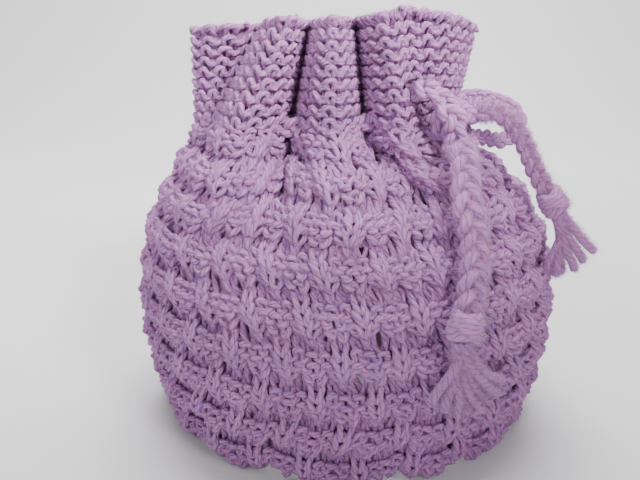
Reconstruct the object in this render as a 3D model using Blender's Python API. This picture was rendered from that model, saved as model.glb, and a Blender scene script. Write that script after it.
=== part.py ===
"""A knitted tea cosy with a drawstring neck, standing empty on its scalloped hem.

Two knitted panels meet at the sides, with a slit for the spout on the left (-X) and one for the
handle on the right (+X). The front is -Y. A plaited drawstring runs through the neck and is tied at
the right front. Lengths are in millimetres here and become metres when a mesh or curve is made.
"""

import math

import bmesh
import bpy
import numpy as np

MM = 0.001

# Cloth
CLOTH_THICKNESS = 4.4
SEAM_GAP = 0.3
COLUMNS = 56
BODY_LENGTH = 135.0
CLOTH_LENGTH = 180.0
ROW_LINES = (0, 5, 11, 20, 32, 46, 60, 74, 86, 96, 105, 114, 122, 129, 135, 142, 152, 166, 180)

# Shape of the cloth from hem to top edge: distance up the cloth, height, and the oval that the two
# panels make there.
LEVELS = (
    # name, up, height, half_width, half_depth, centre_x
    ("hem", 0, 0, 78, 76, 0),
    ("low", 24, 23, 85, 84, 0),
    ("belly", 60, 58, 88.5, 87.5, 0),
    ("high", 90, 87, 83.5, 80, -1),
    ("shoulder", 114, 108, 71, 63, -4),
    ("neck", 135, 125, 55.5, 32, -10.5),
    ("frill", 157, 146.5, 57.5, 31.5, -8),
    ("top", 180, 167, 60, 31, -6),
)
TOP_HEIGHT = 167.0

# Folds that the drawstring gathers, from the left seam to the right one. "out" is how far a fold
# stands from the plane of the two seams.
FRONT_FOLDS = (
    # name, neck_x, neck_out, top_x, top_out, top_height
    ("left_seam", -64.5, 0, -64, 0, 165),
    ("left_edge", -64, 5, -62.5, 6, 165),
    ("left_flat", -61, 10, -49, 12.5, 165.5),
    ("hollow_0", -56, 14, -35.5, 10.5, 166),
    ("pleat_1", -40, 43, -22.5, 38.5, 166.5),
    ("hollow_1", -23.5, 16, -15.5, 17, 165.5),
    ("pleat_2", -8, 45, -7, 43, 166.5),
    ("hollow_2", 7, 17, 1.6, 18, 166),
    ("pleat_3", 18, 43, 10, 42, 168),
    ("valley_3", 28, 27, 19, 42, 169.5),
    ("right_flat", 37.5, 26, 35, 31, 168.5),
    ("right_edge", 43.5, 10, 49, 13, 166),
    ("right_seam", 45, 0, 52, 0, 165),
)
BACK_FOLDS = (
    # name, neck_x, neck_out, top_x, top_out, top_height
    ("left_seam", -64.5, 0, -64, 0, 165),
    ("left_edge", -63.5, 8, -63, 8, 165),
    ("pleat_1", -52, 30, -50, 29, 166.5),
    ("hollow_1", -41, 14, -38, 15, 165.5),
    ("pleat_2", -27, 43, -28, 41, 167),
    ("hollow_2", -14, 16, -15, 17, 166),
    ("pleat_3", -1, 45, -2, 44, 168),
    ("hollow_3", 11, 16, 12, 18, 166.5),
    ("pleat_4", 23, 41, 26, 39, 167),
    ("hollow_4", 34, 20, 38, 20, 165.5),
    ("right_edge", 43, 11, 49, 13, 165),
    ("right_seam", 45, 0, 52, 0, 165),
)
FOLDS_START = 78.0
# A pleat is round: its shoulders stand this far towards the next fold, and this far down its side.
SHOULDER_SPREAD = 0.62
SHOULDER_DROP = 0.33

# Where the scallops of the hem meet, as fractions of the way across a panel.
FRONT_NOTCHES = (0, 0.115, 0.239, 0.379, 0.566, 0.678, 0.80, 0.905, 1)
BACK_NOTCHES = (0, 0.12, 0.25, 0.38, 0.51, 0.635, 0.76, 0.885, 1)
NOTCH_DEPTH = 7.5
SCALLOP_FLAT = 0.8
SCALLOP_FLARE = 1.5
SCALLOP_REACH = 16.0

# The hem is caught up and pushed out at the left seam, where it hangs on the spout.
CORNER_LIFT = 7.0
CORNER_PUSH = 7.0
CORNER_SPREAD = 0.06
CORNER_REACH = 30.0

# Slits in the side seams: from, to (up the cloth), and how far each edge bows away from the seam.
SPOUT_SLIT = (16.0, 92.0, 15.0)
HANDLE_SLIT = (34.0, 112.0, 11.0)

# Drawstring and tie
CORD_RADIUS = 3.5
LOOP_RADIUS = 2.7
EYELET_RADIUS = 4.3
TOUCH_GAP = 0.5
KNOT_LEAD = 4.0
TIE_KNOT = (37.5, -40.0, 130.5)
TIE_KNOT_SIZE = (8.0, 7.0, 7.5)
RING_CENTRE_X = -8.0
RING_HALF_WIDTH = 40.0
RING_HALF_DEPTH = 31.0
RING_HEIGHT = 127.0
RING_TURNS = (25, 50, 75, 100, 125, 150, 175, 200, 225, 250, 275)
# From the tie knot the drawstring goes in at the right, then round the back and the left.
ROUTE_IN = ((35.6, -24, 129.5), (33.4, -12, 128.4), (31.4, 1, 127.5))
# It comes out beside the third pleat and lies across the frill to the knot.
ROUTE_OUT = ((5, -29.5, 128), (12, -28.5, 131.5), (18.6, -30.5, 136.5), (23.5, -37, 141), (27.5, -42.5, 141.5))
# The way in which each cord leaves the knot
TO_NECK = (-0.05, 1, -0.1)
TO_FRILL = (-0.5, -0.25, 0.8)
TO_FRONT = (0.05, -0.45, -0.9)
TO_RIGHT = (1, -0.1, 0.3)
TO_LOOP = (0.75, 0.55, -0.6)
FROM_LOOP = (0.5, 0.65, 0.65)
# The front end drops from the knot and lies on the body: across, up and how far off the cloth.
FRONT_DROP = ((38.4, -56, 121.5),)
FRONT_LIE = ((0.716, 105, 8.2), (0.692, 95, 7.4), (0.667, 86, 7.0), (0.648, 78, 7.3), (0.638, 73.5, 7.7))
FRONT_TASSEL = ((0.63, 54, 7.0), (0.632, 40, 6.4))
RIGHT_ROUTE = ((53, -38.5, 134), (60, -38.5, 129.5), (65.4, -39.5, 121.5), (70, -41, 111.5), (74, -42.5, 104.6))
RIGHT_TASSEL = ((84, -43.5, 84), (88.5, -43, 74))
LOOP_ROUTE = ((53, -28, 123), (62, -23.5, 121.5), (68.6, -21.5, 126.5), (65.5, -22.5, 133), (55, -26.5, 137.5))
END_KNOT = ((0, 4.0), (2, 5.5), (5, 6.0), (8, 5.4), (9.6, 4.2))
TASSEL_SECTIONS = 8
TASSEL_WIDTH = (3.6, 11.0)
TASSEL_THICKNESS = (3.2, 2.6)

MATERIAL_COLOUR = (0.56, 0.37, 0.62, 1.0)
CORD_COLOUR = (0.60, 0.41, 0.66, 1.0)
WOOL_ROUGHNESS = 0.95


def smooth(value):
    """A rise from 0 to 1 that starts and ends level."""
    value = np.clip(value, 0.0, 1.0)
    return value * value * (3.0 - 2.0 * value)


def curve_through(knots, values, at):
    """A smooth curve through values, which stand at knots, read at the places in at."""
    knots = np.asarray(knots, float)
    values = np.asarray(values, float)
    slopes = np.gradient(values, knots, axis=0)
    at = np.clip(np.asarray(at, float), knots[0], knots[-1])
    index = np.clip(np.searchsorted(knots, at, side="right") - 1, 0, len(knots) - 2)
    step = knots[index + 1] - knots[index]
    part = (at - knots[index]) / step
    if values.ndim > 1:
        step = step[:, None]
        part = part[:, None]
    rise = part * part * (3 - 2 * part)
    lead = part * (1 - part) ** 2
    trail = part * part * (part - 1)
    shape = values[index] * (1 - rise) + values[index + 1] * rise
    return shape + step * (slopes[index] * lead + slopes[index + 1] * trail)


def column(table, number):
    return np.array([row[number] for row in table], float)


def with_shoulders(folds):
    """The fold table's numbers, with a shoulder added on each side of every pleat."""
    rows = []
    for index, (name, *values) in enumerate(folds):
        values = np.array(values, float)
        if not name.startswith("pleat"):
            rows.append(values)
            continue
        for step in (-1, 0, 1):
            beside = np.array(folds[index + step][1:], float)
            share = np.array([SHOULDER_SPREAD, SHOULDER_DROP, SHOULDER_SPREAD, SHOULDER_DROP, 0.5])
            rows.append(values + (beside - values) * share)
    return np.array(rows)


class Panel:
    """One knitted panel, as a surface: across runs 0 to 1 from the left seam, up is in millimetres."""

    def __init__(self, folds, notches, facing):
        self.notches = np.array(notches, float)
        self.facing = facing
        rows = with_shoulders(folds)
        order = np.arange(len(rows))
        fine = np.linspace(0, len(rows) - 1, 900)
        neck = curve_through(order, rows[:, 0:2], fine)
        top = curve_through(order, rows[:, 2:4], fine)
        length = np.zeros(len(fine))
        for line in (neck, top):
            steps = np.linalg.norm(np.diff(line, axis=0), axis=1)
            length[1:] += np.cumsum(steps) / steps.sum() / 2
        self.across = length
        self.neck = neck
        self.top = top
        self.top_height = curve_through(order, rows[:, 4], fine)

    def along(self, values, across):
        return np.interp(across, self.across, values)

    def scallop(self, across):
        """How far the hem's edge stands off the ground, 0 under each scallop."""
        index = np.clip(np.searchsorted(self.notches, across, side="right") - 1, 0, len(self.notches) - 2)
        start = self.notches[index]
        part = (across - start) / (self.notches[index + 1] - start)
        round_edge = np.sqrt(np.clip(np.sin(np.pi * part), 0, 1))
        return NOTCH_DEPTH * (1 - round_edge)

    def slit(self, up, span):
        start, end, bow = span
        part = np.clip((up - start) / (end - start), 0, 1)
        return SEAM_GAP / 2 + bow * np.sin(np.pi * part) ** 0.8

    def point(self, across, up):
        across, up = np.broadcast_arrays(np.asarray(across, float), np.asarray(up, float))
        knots = column(LEVELS, 1)
        height, half_width, half_depth, centre = (
            curve_through(knots, column(LEVELS, number), up.ravel()).reshape(up.shape)
            for number in (2, 3, 4, 5)
        )
        # The smooth oval of the body, open at the slits
        from_left = np.arcsin(self.slit(up, SPOUT_SLIT) / half_depth)
        from_right = np.arcsin(self.slit(up, HANDLE_SLIT) / half_depth)
        turn = -math.pi / 2 + from_left + across * (math.pi - from_left - from_right)
        x = centre + half_width * np.sin(turn)
        out = half_depth * np.cos(turn)
        # The folds, full at the neck and above it
        neck_turn = math.pi * (across - 0.5)
        neck_level = LEVELS[5]
        oval_x = neck_level[5] + neck_level[3] * np.sin(neck_turn)
        oval_out = neck_level[4] * np.cos(neck_turn)
        fold_x = self.along(self.neck[:, 0], across)
        fold_out = self.along(self.neck[:, 1], across)
        gathered = smooth((up - FOLDS_START) / (BODY_LENGTH - FOLDS_START))
        x = x + gathered * (fold_x - oval_x)
        out = out + gathered * (fold_out - oval_out)
        # The frill, from the neck's folds to the top edge's
        rise = np.clip((up - BODY_LENGTH) / (CLOTH_LENGTH - BODY_LENGTH), 0, 1)
        above = up > BODY_LENGTH
        frill_x = fold_x + rise * (self.along(self.top[:, 0], across) - fold_x)
        frill_out = fold_out + rise * (self.along(self.top[:, 1], across) - fold_out)
        x = np.where(above, frill_x, x)
        out = np.where(above, frill_out + SEAM_GAP / 2, out)
        height = height + rise * (self.along(self.top_height, across) - TOP_HEIGHT)
        # The hem's scallops, and its corner caught up by the spout
        low = np.exp(-up / SCALLOP_REACH)
        edge = self.scallop(across)
        corner = np.exp(-((across / CORNER_SPREAD) ** 2)) * np.exp(-up / CORNER_REACH)
        swell = 1 + SCALLOP_FLARE / 80 * (1 - edge / NOTCH_DEPTH) * low
        height = height + edge * low + CORNER_LIFT * corner - SCALLOP_FLAT * low
        x = x * swell - CORNER_PUSH * corner
        out = out * swell
        return np.stack([x, self.facing * out, np.maximum(height, 0)], axis=-1)

    def outward(self, across, up):
        """The cloth's outward direction."""
        small = 0.002
        wide = self.point(np.clip(across + small, 0, 1), up) - self.point(np.clip(across - small, 0, 1), up)
        tall = self.point(across, up + 0.5) - self.point(across, np.maximum(up - 0.5, 0))
        normal = np.cross(wide, tall) * -self.facing
        return normal / np.linalg.norm(normal, axis=-1, keepdims=True)

    def lifted(self, across, up, lift):
        """Points that far outside the middle of the cloth."""
        across, up = np.broadcast_arrays(np.asarray(across, float), np.asarray(up, float))
        return self.point(across, up) + np.asarray(lift)[..., None] * self.outward(across, up)


def wool(name, colour):
    material = bpy.data.materials.new(name)
    material.use_nodes = True
    shader = material.node_tree.nodes["Principled BSDF"]
    shader.inputs["Base Color"].default_value = colour
    shader.inputs["Roughness"].default_value = WOOL_ROUGHNESS
    shader.inputs["Metallic"].default_value = 0.0
    return material


def mesh_object(name, points, faces, material):
    mesh = bpy.data.meshes.new(name)
    mesh.from_pydata([tuple(point * MM) for point in points], [], faces)
    mesh.materials.append(material)
    mesh.validate()
    piece = bpy.data.objects.new(name, mesh)
    bpy.context.collection.objects.link(piece)
    return piece


def skin_faces(rows, columns):
    """Quads of a closed shell of two grids, the outer one first, each stored row by row."""
    inner = rows * columns
    faces = []
    for row in range(rows - 1):
        for col in range(columns - 1):
            a = row * columns + col
            b, c, d = a + 1, a + columns + 1, a + columns
            faces.append((a, b, c, d))
            faces.append((inner + d, inner + c, inner + b, inner + a))
    edge = [(0, col) for col in range(columns)]
    edge += [(row, columns - 1) for row in range(1, rows)]
    edge += [(rows - 1, col) for col in range(columns - 2, -1, -1)]
    edge += [(row, 0) for row in range(rows - 2, 0, -1)]
    ring = [row * columns + col for row, col in edge]
    for here, there in zip(ring, ring[1:] + ring[:1]):
        faces.append((here, inner + here, inner + there, there))
    return faces


def make_panel(name, panel, material):
    """The cloth as one closed shell, its edges square to the seams and flat under the hem."""
    across = np.linspace(0, 1, COLUMNS + 1)
    grid_across, grid_up = np.meshgrid(across, np.array(ROW_LINES, float))
    half = CLOTH_THICKNESS / 2
    middle = panel.point(grid_across, grid_up)
    sides = []
    for lift in (half, -half):
        side = panel.lifted(grid_across, grid_up, np.full(grid_up.shape, lift))
        side[:, 0, 1] = middle[:, 0, 1]
        side[:, -1, 1] = middle[:, -1, 1]
        side[0, :, 2] = middle[0, :, 2]
        side[..., 2] = np.maximum(side[..., 2], 0)
        sides.append(side.reshape(-1, 3))
    faces = skin_faces(len(ROW_LINES), COLUMNS + 1)
    if panel.facing > 0:
        faces = [face[::-1] for face in faces]
    return mesh_object(name, np.vstack(sides), faces, material)


def smooth_route(points, count):
    """Evenly spaced points on one smooth curve through the route's points."""
    points = np.array(points, float)
    steps = np.linalg.norm(np.diff(points, axis=0), axis=1)
    knots = np.r_[0, np.cumsum(np.sqrt(steps))]
    fine = curve_through(knots, points, np.linspace(0, knots[-1], 1200))
    length = np.r_[0, np.cumsum(np.linalg.norm(np.diff(fine, axis=0), axis=1))]
    even = np.linspace(0, length[-1], count)
    return np.stack([np.interp(even, length, fine[:, axis]) for axis in range(3)], axis=1)


def cord(name, points, radius, material):
    """A round cord along the points, as a curve with filled ends."""
    data = bpy.data.curves.new(name, "CURVE")
    data.dimensions = "3D"
    data.bevel_depth = radius * MM
    data.bevel_resolution = 2
    data.use_fill_caps = True
    line = data.splines.new("POLY")
    line.points.add(len(points) - 1)
    for place, point in zip(line.points, points):
        place.co = (*(point * MM), 1.0)
    data.materials.append(material)
    piece = bpy.data.objects.new(name, data)
    bpy.context.collection.objects.link(piece)
    return piece


def sleeve(name, points, sections, side, material, around=12):
    """A closed form of oval sections: (half_width, half_thick) at each point, width along side."""
    points = np.array(points, float)
    ahead = np.gradient(points, axis=0)
    ahead /= np.linalg.norm(ahead, axis=1, keepdims=True)
    side = np.array(side, float)
    rings = []
    for point, direction, (width, thick) in zip(points, ahead, sections):
        wide = side - direction * side.dot(direction)
        wide /= np.linalg.norm(wide)
        deep = np.cross(direction, wide)
        for number in range(around):
            turn = 2 * math.pi * number / around
            rings.append(point + wide * width * math.cos(turn) + deep * thick * math.sin(turn))
    faces = []
    for row in range(len(points) - 1):
        for number in range(around):
            a = row * around + number
            b = row * around + (number + 1) % around
            faces.append((a, b, b + around, a + around))
    last = (len(points) - 1) * around
    faces.append(tuple(reversed(range(around))))
    faces.append(tuple(range(last, last + around)))
    return mesh_object(name, rings, faces, material)


def leave_knot(direction):
    """Two points straight out of the tie knot: on its skin, and a little further."""
    way = np.array(direction, float)
    way /= np.linalg.norm(way)
    skin = 1 / np.linalg.norm(way / np.array(TIE_KNOT_SIZE)) + TOUCH_GAP
    centre = np.array(TIE_KNOT)
    return [centre + way * skin, centre + way * (skin + KNOT_LEAD)]


def ring_points():
    turns = np.radians(RING_TURNS)
    x = RING_CENTRE_X + RING_HALF_WIDTH * np.cos(turns)
    y = RING_HALF_DEPTH * np.sin(turns)
    return np.stack([x, y, np.full(len(turns), RING_HEIGHT)], axis=1)


def drawstring_route():
    return smooth_route(
        [*leave_knot(TO_NECK), *ROUTE_IN, *ring_points(), *ROUTE_OUT, *leave_knot(TO_FRILL)[::-1]], 76
    )


def front_route(panel):
    lie = [panel.lifted(*place) for place in FRONT_LIE]
    return smooth_route([*leave_knot(TO_FRONT), *FRONT_DROP, *lie], 26)


def right_route():
    return smooth_route([*leave_knot(TO_RIGHT), *RIGHT_ROUTE], 22)


def loop_route():
    return smooth_route([*leave_knot(TO_LOOP), *LOOP_ROUTE, *leave_knot(FROM_LOOP)[::-1]], 30)


def make_tie_knot(material):
    mesh = bpy.data.meshes.new("tie_knot")
    shape = bmesh.new()
    bmesh.ops.create_uvsphere(shape, u_segments=16, v_segments=10, radius=MM)
    bmesh.ops.scale(shape, vec=TIE_KNOT_SIZE, verts=shape.verts)
    bmesh.ops.translate(shape, vec=[value * MM for value in TIE_KNOT], verts=shape.verts)
    shape.to_mesh(mesh)
    shape.free()
    mesh.materials.append(material)
    bpy.context.collection.objects.link(bpy.data.objects.new("tie_knot", mesh))


def make_end(name, route, tassel_points, side, material):
    """The wound knot at a cord's end, and the tassel that spreads below it."""
    ahead = route[-1] - route[-2]
    ahead /= np.linalg.norm(ahead)
    start = route[-1] + ahead * TOUCH_GAP
    centres = [start + ahead * along for along, _ in END_KNOT]
    sleeve(f"end_knot_{name}", centres, [(size, size * 0.9) for _, size in END_KNOT], side, material)
    first = centres[-1] + ahead * 2 * TOUCH_GAP
    points = smooth_route([first, first + ahead * 4, *tassel_points], TASSEL_SECTIONS)
    points[1] = first + ahead * 3
    spread = np.linspace(0, 1, TASSEL_SECTIONS)
    wide, thick = (size[0] + (size[1] - size[0]) * spread for size in (TASSEL_WIDTH, TASSEL_THICKNESS))
    sleeve(f"tassel_{name}", points, list(zip(wide, thick)), side, material)


def cut_eyelets(pieces, route, material):
    """Lets the drawstring through the cloth, wherever it crosses it."""
    cutter = cord("eyelet_cutter", route, EYELET_RADIUS, material)
    graph = bpy.context.evaluated_depsgraph_get()
    mesh = bpy.data.meshes.new_from_object(cutter.evaluated_get(graph))
    bpy.data.objects.remove(cutter)
    cutter = bpy.data.objects.new("eyelet_cutter", mesh)
    bpy.context.collection.objects.link(cutter)
    cutter.hide_render = True
    cutter.display_type = "WIRE"
    for piece in pieces:
        cut = piece.modifiers.new("eyelets", "BOOLEAN")
        cut.operation = "DIFFERENCE"
        cut.solver = "EXACT"
        cut.object = cutter


def main():
    for piece in list(bpy.data.objects):
        bpy.data.objects.remove(piece)
    cloth = wool("knitted_wool", MATERIAL_COLOUR)
    plait = wool("plaited_wool", CORD_COLOUR)
    front = Panel(FRONT_FOLDS, FRONT_NOTCHES, -1)
    back = Panel(BACK_FOLDS, BACK_NOTCHES, 1)
    panels = [make_panel("front_panel", front, cloth), make_panel("back_panel", back, cloth)]
    neck = drawstring_route()
    cut_eyelets(panels, neck, cloth)
    cord("drawstring", neck, CORD_RADIUS, plait)
    make_tie_knot(plait)
    down = front_route(front)
    cord("tie_front", down, CORD_RADIUS, plait)
    right = right_route()
    cord("tie_right", right, CORD_RADIUS, plait)
    cord("tie_loop", loop_route(), LOOP_RADIUS, plait)
    level = FRONT_TASSEL[0][1]
    over_cloth = front.point(FRONT_TASSEL[0][0] + 0.02, level) - front.point(FRONT_TASSEL[0][0] - 0.02, level)
    make_end("front", down, [front.lifted(*place) for place in FRONT_TASSEL], over_cloth, plait)
    make_end("right", right, RIGHT_TASSEL, (1, 0, 0.5), plait)


main()
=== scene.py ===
"""Looks of the knitted tea cosy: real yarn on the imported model, plaited drawstring, knots and tassels.

Run as a script. It is laid out as an add-on: a panel in the 3D view lists one operator for each kind
of piece. Lengths in the tables are in millimetres, and become metres when a mesh or curve is made.
"""

import functools
import math

import bpy
import numpy as np
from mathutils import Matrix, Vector


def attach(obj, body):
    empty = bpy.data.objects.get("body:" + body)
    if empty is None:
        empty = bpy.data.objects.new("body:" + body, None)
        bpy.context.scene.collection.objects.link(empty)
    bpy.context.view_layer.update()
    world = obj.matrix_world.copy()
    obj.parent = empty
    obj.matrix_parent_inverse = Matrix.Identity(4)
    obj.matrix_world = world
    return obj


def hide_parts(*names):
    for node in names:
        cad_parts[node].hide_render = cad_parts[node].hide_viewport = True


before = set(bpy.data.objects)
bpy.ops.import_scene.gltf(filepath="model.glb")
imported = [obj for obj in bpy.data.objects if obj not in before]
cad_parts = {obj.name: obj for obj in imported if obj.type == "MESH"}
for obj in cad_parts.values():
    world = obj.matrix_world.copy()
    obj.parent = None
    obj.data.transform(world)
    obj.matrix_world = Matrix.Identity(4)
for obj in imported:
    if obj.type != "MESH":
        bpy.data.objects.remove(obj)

bl_info = {
    "name": "Knitted tea cosy",
    "version": (1, 0, 0),
    "blender": (4, 5, 0),
    "location": "View3D > Sidebar > Tea cosy",
    "description": "Knits a tea cosy with a drawstring neck over its packed solids",
    "category": "Object",
}

MM = 0.001
SEED = 41
# How bright the sheet deep in the cloth is, beside the lit wool: the wool there is darkened as painted
# shade between the stitches
PAINTED_SHADE_SHARE = 0.66

# ---- The cloth's shape, as in the solids ----
SEAM_GAP = 0.3
BODY_LENGTH = 135.0
CLOTH_LENGTH = 180.0
LEVELS = (
    # name, up, height, half_width, half_depth, centre_x
    ("hem", 0, 0, 78, 76, 0),
    ("low", 24, 23, 85, 84, 0),
    ("belly", 60, 58, 88.5, 87.5, 0),
    ("high", 90, 87, 83.5, 80, -1),
    ("shoulder", 114, 108, 71, 63, -4),
    ("neck", 135, 125, 55.5, 32, -10.5),
    ("frill", 157, 146.5, 57.5, 31.5, -8),
    ("top", 180, 167, 60, 31, -6),
)
TOP_HEIGHT = 167.0
FRONT_FOLDS = (
    # name, neck_x, neck_out, top_x, top_out, top_height
    ("left_seam", -64.5, 0, -64, 0, 165),
    ("left_edge", -64, 5, -62.5, 6, 165),
    ("left_flat", -61, 10, -49, 12.5, 165.5),
    ("hollow_0", -56, 14, -35.5, 10.5, 166),
    ("pleat_1", -40, 43, -22.5, 38.5, 166.5),
    ("hollow_1", -23.5, 16, -15.5, 17, 165.5),
    ("pleat_2", -8, 45, -7, 43, 166.5),
    ("hollow_2", 7, 17, 1.6, 18, 166),
    ("pleat_3", 18, 43, 10, 42, 168),
    ("valley_3", 28, 27, 19, 42, 169.5),
    ("right_flat", 37.5, 26, 35, 31, 168.5),
    ("right_edge", 43.5, 10, 49, 13, 166),
    ("right_seam", 45, 0, 52, 0, 165),
)
BACK_FOLDS = (
    # name, neck_x, neck_out, top_x, top_out, top_height
    ("left_seam", -64.5, 0, -64, 0, 165),
    ("left_edge", -63.5, 8, -63, 8, 165),
    ("pleat_1", -52, 30, -50, 29, 166.5),
    ("hollow_1", -41, 14, -38, 15, 165.5),
    ("pleat_2", -27, 43, -28, 41, 167),
    ("hollow_2", -14, 16, -15, 17, 166),
    ("pleat_3", -1, 45, -2, 44, 168),
    ("hollow_3", 11, 16, 12, 18, 166.5),
    ("pleat_4", 23, 41, 26, 39, 167),
    ("hollow_4", 34, 20, 38, 20, 165.5),
    ("right_edge", 43, 11, 49, 13, 165),
    ("right_seam", 45, 0, 52, 0, 165),
)
FOLDS_START = 78.0
SHOULDER_SPREAD = 0.62
SHOULDER_DROP = 0.33
FRONT_NOTCHES = (0, 0.115, 0.239, 0.379, 0.566, 0.678, 0.80, 0.905, 1)
BACK_NOTCHES = (0, 0.12, 0.25, 0.38, 0.51, 0.635, 0.76, 0.885, 1)
NOTCH_DEPTH = 7.5
SCALLOP_FLAT = 0.8
SCALLOP_FLARE = 1.5
SCALLOP_REACH = 16.0
CORNER_LIFT = 7.0
CORNER_PUSH = 7.0
CORNER_SPREAD = 0.06
CORNER_REACH = 30.0
SPOUT_SLIT = (16.0, 92.0, 15.0)
HANDLE_SLIT = (34.0, 112.0, 11.0)

# ---- The cords' routes, as in the solids ----
TOUCH_GAP = 0.5
KNOT_LEAD = 4.0
TIE_KNOT = (37.5, -40.0, 130.5)
TIE_KNOT_SIZE = (8.0, 7.0, 7.5)
RING_CENTRE_X = -8.0
RING_HALF_WIDTH = 40.0
RING_HALF_DEPTH = 31.0
RING_HEIGHT = 127.0
RING_TURNS = (25, 50, 75, 100, 125, 150, 175, 200, 225, 250, 275)
ROUTE_IN = ((35.6, -24, 129.5), (33.4, -12, 128.4), (31.4, 1, 127.5))
ROUTE_OUT = (
    (5, -29.5, 128), (12, -28.5, 131.5), (18.6, -30.5, 136.5), (23.5, -37, 141), (27.5, -42.5, 141.5),
)
TO_NECK = (-0.05, 1, -0.1)
TO_FRILL = (-0.5, -0.25, 0.8)
TO_FRONT = (0.05, -0.45, -0.9)
TO_RIGHT = (1, -0.1, 0.3)
TO_LOOP = (0.75, 0.55, -0.6)
FROM_LOOP = (0.5, 0.65, 0.65)
FRONT_DROP = ((38.4, -56, 121.5),)
FRONT_LIE = ((0.716, 105, 8.2), (0.692, 95, 7.4), (0.667, 86, 7.0), (0.648, 78, 7.3), (0.638, 73.5, 7.7))
RIGHT_ROUTE = (
    (53, -38.5, 134), (60, -38.5, 129.5), (65.4, -39.5, 121.5), (70, -41, 111.5), (74, -42.5, 104.6),
)
LOOP_ROUTE = (
    (53, -28, 123), (62, -23.5, 121.5), (68.6, -21.5, 126.5), (65.5, -22.5, 133), (55, -26.5, 137.5),
)
END_KNOT_LENGTH = 9.6

# ---- The knitting ----
BODY_STITCHES = 52
BODY_ROWS = 34
FRILL_STITCHES = 33
FRILL_ROWS = 18
REPEAT = 4
TIER_ROWS = 4
ROW_START = 1.5
ROW_PITCH = 4.15
ROW_TIGHTENING = 0.0065
# Where a tier's four rows and the next tier's first stand, in rows: the last row is drawn out
TIER_STEPS = (0.0, 0.88, 1.78, 2.74, 4.0)
# How much wider than the others a V column's stitch is
COLUMN_WIDENING = 0.15
# Where the first V column of the even and of the odd tiers stands, in repeats from the left seam
TIER_PHASE = (0.65, 0.15)
POINTS_PER_STITCH = 12
# How far a loop swells sideways, in stitches: knit and purl, in the body and in the frill
BODY_BULGE = (0.27, 0.15)
FRILL_BULGE = (0.085, 0.085)
LEG_SPREAD = 0.03
# How near a V column's middle a stitch belongs to it, in repeats
COLUMN_REACH = 0.13
COLUMN_PLUMPNESS = 0.28
# How uneven the stitches are: their place across, their height, their depth and their thickness
UNEVEN_ACROSS = 0.045
UNEVEN_RISE = 0.06
UNEVEN_LIFT = 0.12
UNEVEN_PLUMP = 0.04
# How far rows hang down at the edges of the tiers
SAG = 1.6
EDGE_COILS = 47
# How far from a panel's side edges the yarn stays, as a share of its width
SELVEDGE = 0.004
# How high a loop reaches, in rows, and how far up it the cloth's relief is read
BODY_LOOP_HEIGHT = 1.9
FRILL_LOOP_HEIGHT = 2.2
LOOP_MIDDLE = 0.55
# How far the lowest row stays above the hem, and how far the frill's first row laps over the body's last
LOWEST_ROW = 0.4
FRILL_OVERLAP = 1.6
# How far the stitches' middle lies inside the cloth's, and how far off the ground the yarn stays
STITCH_SINK = 2.1
LOWEST_YARN = 1.35
# The thin sheet behind the stitches: how thick, how far behind them, how far out and down it may
# reach, its grid, and where it starts and ends up the cloth
BASE_THICKNESS = 1.0
BODY_BASE_SINK = 1.5
FRILL_BASE_SINK = 0.9
MOST_BASE_SWELL = 0.4
LOWEST_BASE = 0.6
BASE_GRID = (84, 56)
BASE_HEIGHTS = (1.0, 178.5)
# Width of the cloth where eyelets and holes are measured
CLOTH_SPAN = 245.0
# Holes beside a V column's foot: how far beside it, in stitches, and their sizes; below 0 is no hole
HOLE_BESIDE = 0.92
HOLE_SIZES = (-1.2, 2.3)
# The smallest opening that is left in the sheet behind an eyelet or a hole
LEAST_OPENING = 1.9
EYELET_RADIUS = 3.4
# Between which heights the drawstring can pass the cloth, and how near its middle line then comes
EYELET_LEVELS = (130, 156)
EYELET_NEAR = 1.2
# Eyelets that show in the hollows beside the middle pleat: across, up, radius
HOLLOW_EYELETS = ((0.345, 131.5, 2.6), (0.585, 130.5, 3.0))
# About how many fibres stand off the lower body, the upper body and the frill, and their length in metres
KNIT_FUZZ = (23000, 23000, 20000)
KNIT_FUZZ_LENGTH = 0.0026

# In metres: how high off the ground fibres start, and how far the yarn there may face the axis
FUZZ_LEAST_HEIGHT = 0.005
FUZZ_LEAST_TURNED = -0.005

# ---- The plaits ----
# A strand's radius as a share of its plait's width
STRAND_SHARE = 0.195
FRONT_PLAIT_TURN = 20.0
RIGHT_PLAIT_TURN = 14.0
LOOP_WIDTH = 7.0
LOOP_PLAIT_TURN = 14.0
DRAWSTRING_WIDTH = 8.5
# How the tie knot is wound: the places that each plait passes, measured from the knot's centre
KNOT_OVER = ((-2.2, -4.6, 4.0), (0.2, -6.0, -0.5))
KNOT_UNDER = ((3.0, -1.5, 2.0), (-4.2, 0.5, 1.0), (-3.5, 1.5, -4.0), (3.0, 2.0, -4.5))
KNOT_BEHIND = ((0.0, 3.0, 1.0), (2.0, 2.5, 3.0))
# Each free end: widths of the knot and of the tassel's root, and the radii of their yarn in metres
FRONT_END = (10.4, 2.1, 0.0017, 0.0016)
RIGHT_END = (9.2, 1.9, 0.0015, 0.00155)
# Where the bands round an end knot stand, as shares of its length
KNOT_BANDS = (0.2, 0.4, 0.6, 0.79)
# Thickness of the knot's core, of its bands and of the one over them, beside the knot's yarn
KNOT_YARNS = (1.75, 0.92, 0.84)
# How straight a tassel's strand leaves the knot, as shares of its length: ahead, and to its end
TASSEL_PULL = (0.22, 0.2)
TASSEL_WAVE = 0.55
# About how many fibres stand off a plait, its end knot and its tassel, and their length in metres
PLAIT_FUZZ = (10000, 2800, 6000)
PLAIT_FUZZ_LENGTH = 0.0030
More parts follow.
